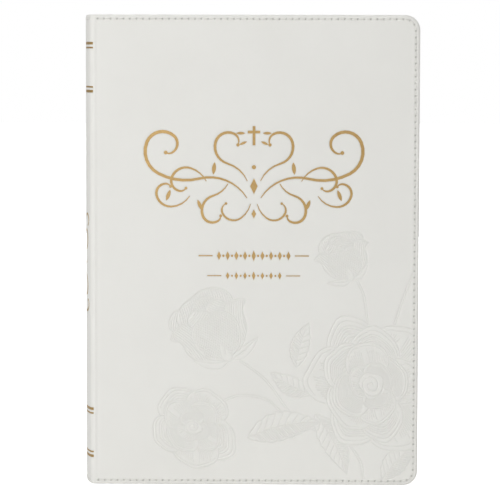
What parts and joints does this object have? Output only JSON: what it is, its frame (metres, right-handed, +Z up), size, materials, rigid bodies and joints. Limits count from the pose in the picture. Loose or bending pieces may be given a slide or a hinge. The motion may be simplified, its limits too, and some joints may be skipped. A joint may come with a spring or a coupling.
{
  "type": "bible",
  "caption": "Upright closed devotional book with soft stitched faux leather covers, foil ornament, rounded fore-edge corners and page sections that fan as the covers swing.",
  "frame": {"origin": "bottom centre of the bounding box: the middle of the tail edges that the closed book stands on", "axes": "+Z up from tail to head, +X from the spine to the fore-edge, +Y from the front cover to the back cover, so the front cover faces -Y"},
  "size_m": [0.162, 0.034, 0.228],
  "materials": {
    "faux_leather": "satin pearl white polyurethane faux leather with a fine grain",
    "thread": "twisted off-white sewing thread",
    "gold_foil": "hot-stamped matt gold foil",
    "grey_card": "flexible grey binder's board",
    "bible_paper": "thin cream paper with gilt edges",
    "heavy_paper": "heavier smooth paper",
    "endpaper": "smooth cream endpaper",
    "kraft_paper": "brown kraft lining",
    "linen_thread": "waxed linen thread",
    "mull_cloth": "open-weave starched cotton",
    "band_cloth": "woven cotton band in cream and gold",
    "satin_ribbon": "glossy satin ribbon"
  },
  "bodies": {
    "binding": {"spine_leather": "faux_leather", "spine_inlay": "grey_card", "spine_stitching": "thread", "spine_foil_bands": "gold_foil", "spine_foil_ornament": "gold_foil", "section_folds": "bible_paper", "sewing_thread": "linen_thread", "mull_lining": "mull_cloth", "kraft_lining": "kraft_paper", "head_band": "band_cloth", "tail_band": "band_cloth", "ribbon_marker": "satin_ribbon"},
    "front_cover": {"front_cover_leather": "faux_leather", "front_cover_board": "grey_card", "front_stitching": "thread", "front_mull_flap": "mull_cloth", "front_pastedown": "endpaper", "front_foil_ornament": "gold_foil"},
    "back_cover": {"back_cover_leather": "faux_leather", "back_cover_board": "grey_card", "back_stitching": "thread", "back_mull_flap": "mull_cloth", "back_pastedown": "endpaper"},
    "front_flyleaf": {"front_flyleaf": "endpaper"},
    "presentation_leaf": {"presentation_leaf": "heavy_paper"},
    "section_01": {"section_01": "bible_paper"},
    "section_02": {"section_02": "bible_paper"},
    "section_03": {"section_03": "bible_paper"},
    "section_04": {"section_04": "bible_paper"},
    "section_05": {"section_05": "bible_paper"},
    "section_06": {"section_06": "bible_paper"},
    "section_07": {"section_07": "bible_paper"},
    "section_08": {"section_08": "bible_paper"},
    "section_09": {"section_09": "bible_paper"},
    "section_10": {"section_10": "bible_paper"},
    "section_11": {"section_11": "bible_paper"},
    "section_12": {"section_12": "bible_paper"},
    "section_13": {"section_13": "bible_paper"},
    "section_14": {"section_14": "bible_paper"},
    "map_leaf": {"map_leaf": "heavy_paper"},
    "back_flyleaf": {"back_flyleaf": "endpaper"}
  },
  "joints": [
    {"name": "front_cover_hinge", "type": "hinge", "parent": "binding", "child": "front_cover", "pos_m": [-0.0754, -0.01715, 0.114], "axis": [0, 0, -1], "range_deg": [0, 180]},
    {"name": "back_cover_hinge", "type": "hinge", "parent": "binding", "child": "back_cover", "pos_m": [-0.0754, 0.01715, 0.114], "axis": [0, 0, 1], "range_deg": [0, 180]},
    {"name": "front_flyleaf_fold", "type": "hinge", "parent": "binding", "child": "front_flyleaf", "pos_m": [-0.072, -0.0145, 0.114], "axis": [0, 0, -1], "range_deg": [0, 90.01]},
    {"name": "presentation_leaf_fold", "type": "hinge", "parent": "binding", "child": "presentation_leaf", "pos_m": [-0.0715, -0.0141, 0.114], "axis": [0, 0, -1], "range_deg": [0, 80.01]},
    {"name": "section_01_fold", "type": "hinge", "parent": "binding", "child": "section_01", "pos_m": [-0.071, -0.01287, 0.114], "axis": [0, 0, -1], "range_deg": [0, 70.01]},
    {"name": "section_02_fold", "type": "hinge", "parent": "binding", "child": "section_02", "pos_m": [-0.071, -0.01093, 0.114], "axis": [0, 0, -1], "range_deg": [0, 60.01]},
    {"name": "section_03_fold", "type": "hinge", "parent": "binding", "child": "section_03", "pos_m": [-0.071, -0.00898, 0.114], "axis": [0, 0, -1], "range_deg": [0, 50.01]},
    {"name": "section_04_fold", "type": "hinge", "parent": "binding", "child": "section_04", "pos_m": [-0.071, -0.00702, 0.114], "axis": [0, 0, -1], "range_deg": [0, 40.01]},
    {"name": "section_05_fold", "type": "hinge", "parent": "binding", "child": "section_05", "pos_m": [-0.071, -0.00507, 0.114], "axis": [0, 0, -1], "range_deg": [0, 30.01]},
    {"name": "section_06_fold", "type": "hinge", "parent": "binding", "child": "section_06", "pos_m": [-0.071, -0.00313, 0.114], "axis": [0, 0, -1], "range_deg": [0, 20.01]},
    {"name": "section_07_fold", "type": "hinge", "parent": "binding", "child": "section_07", "pos_m": [-0.071, -0.00118, 0.114], "axis": [0, 0, -1], "range_deg": [0, 10.01]},
    {"name": "section_08_fold", "type": "hinge", "parent": "binding", "child": "section_08", "pos_m": [-0.071, 0.00118, 0.114], "axis": [0, 0, 1], "range_deg": [0, 10.01]},
    {"name": "section_09_fold", "type": "hinge", "parent": "binding", "child": "section_09", "pos_m": [-0.071, 0.00313, 0.114], "axis": [0, 0, 1], "range_deg": [0, 20.01]},
    {"name": "section_10_fold", "type": "hinge", "parent": "binding", "child": "section_10", "pos_m": [-0.071, 0.00507, 0.114], "axis": [0, 0, 1], "range_deg": [0, 30.01]},
    {"name": "section_11_fold", "type": "hinge", "parent": "binding", "child": "section_11", "pos_m": [-0.071, 0.00702, 0.114], "axis": [0, 0, 1], "range_deg": [0, 40.01]},
    {"name": "section_12_fold", "type": "hinge", "parent": "binding", "child": "section_12", "pos_m": [-0.071, 0.00898, 0.114], "axis": [0, 0, 1], "range_deg": [0, 50.01]},
    {"name": "section_13_fold", "type": "hinge", "parent": "binding", "child": "section_13", "pos_m": [-0.071, 0.01093, 0.114], "axis": [0, 0, 1], "range_deg": [0, 60.01]},
    {"name": "section_14_fold", "type": "hinge", "parent": "binding", "child": "section_14", "pos_m": [-0.071, 0.01287, 0.114], "axis": [0, 0, 1], "range_deg": [0, 70.01]},
    {"name": "map_leaf_fold", "type": "hinge", "parent": "binding", "child": "map_leaf", "pos_m": [-0.0715, 0.0141, 0.114], "axis": [0, 0, 1], "range_deg": [0, 80.01]},
    {"name": "back_flyleaf_fold", "type": "hinge", "parent": "binding", "child": "back_flyleaf", "pos_m": [-0.072, 0.0145, 0.114], "axis": [0, 0, 1], "range_deg": [0, 90.01]}
  ],
  "couplings": [
    {"joint": "front_flyleaf_fold", "follows": "front_cover_hinge", "ratio": 0.5},
    {"joint": "presentation_leaf_fold", "follows": "front_cover_hinge", "ratio": 0.44444},
    {"joint": "section_01_fold", "follows": "front_cover_hinge", "ratio": 0.38889},
    {"joint": "section_02_fold", "follows": "front_cover_hinge", "ratio": 0.33333},
    {"joint": "section_03_fold", "follows": "front_cover_hinge", "ratio": 0.27778},
    {"joint": "section_04_fold", "follows": "front_cover_hinge", "ratio": 0.22222},
    {"joint": "section_05_fold", "follows": "front_cover_hinge", "ratio": 0.16667},
    {"joint": "section_06_fold", "follows": "front_cover_hinge", "ratio": 0.11111},
    {"joint": "section_07_fold", "follows": "front_cover_hinge", "ratio": 0.055556},
    {"joint": "section_08_fold", "follows": "back_cover_hinge", "ratio": 0.055556},
    {"joint": "section_09_fold", "follows": "back_cover_hinge", "ratio": 0.11111},
    {"joint": "section_10_fold", "follows": "back_cover_hinge", "ratio": 0.16667},
    {"joint": "section_11_fold", "follows": "back_cover_hinge", "ratio": 0.22222},
    {"joint": "section_12_fold", "follows": "back_cover_hinge", "ratio": 0.27778},
    {"joint": "section_13_fold", "follows": "back_cover_hinge", "ratio": 0.33333},
    {"joint": "section_14_fold", "follows": "back_cover_hinge", "ratio": 0.38889},
    {"joint": "map_leaf_fold", "follows": "back_cover_hinge", "ratio": 0.44444},
    {"joint": "back_flyleaf_fold", "follows": "back_cover_hinge", "ratio": 0.5}
  ]
}
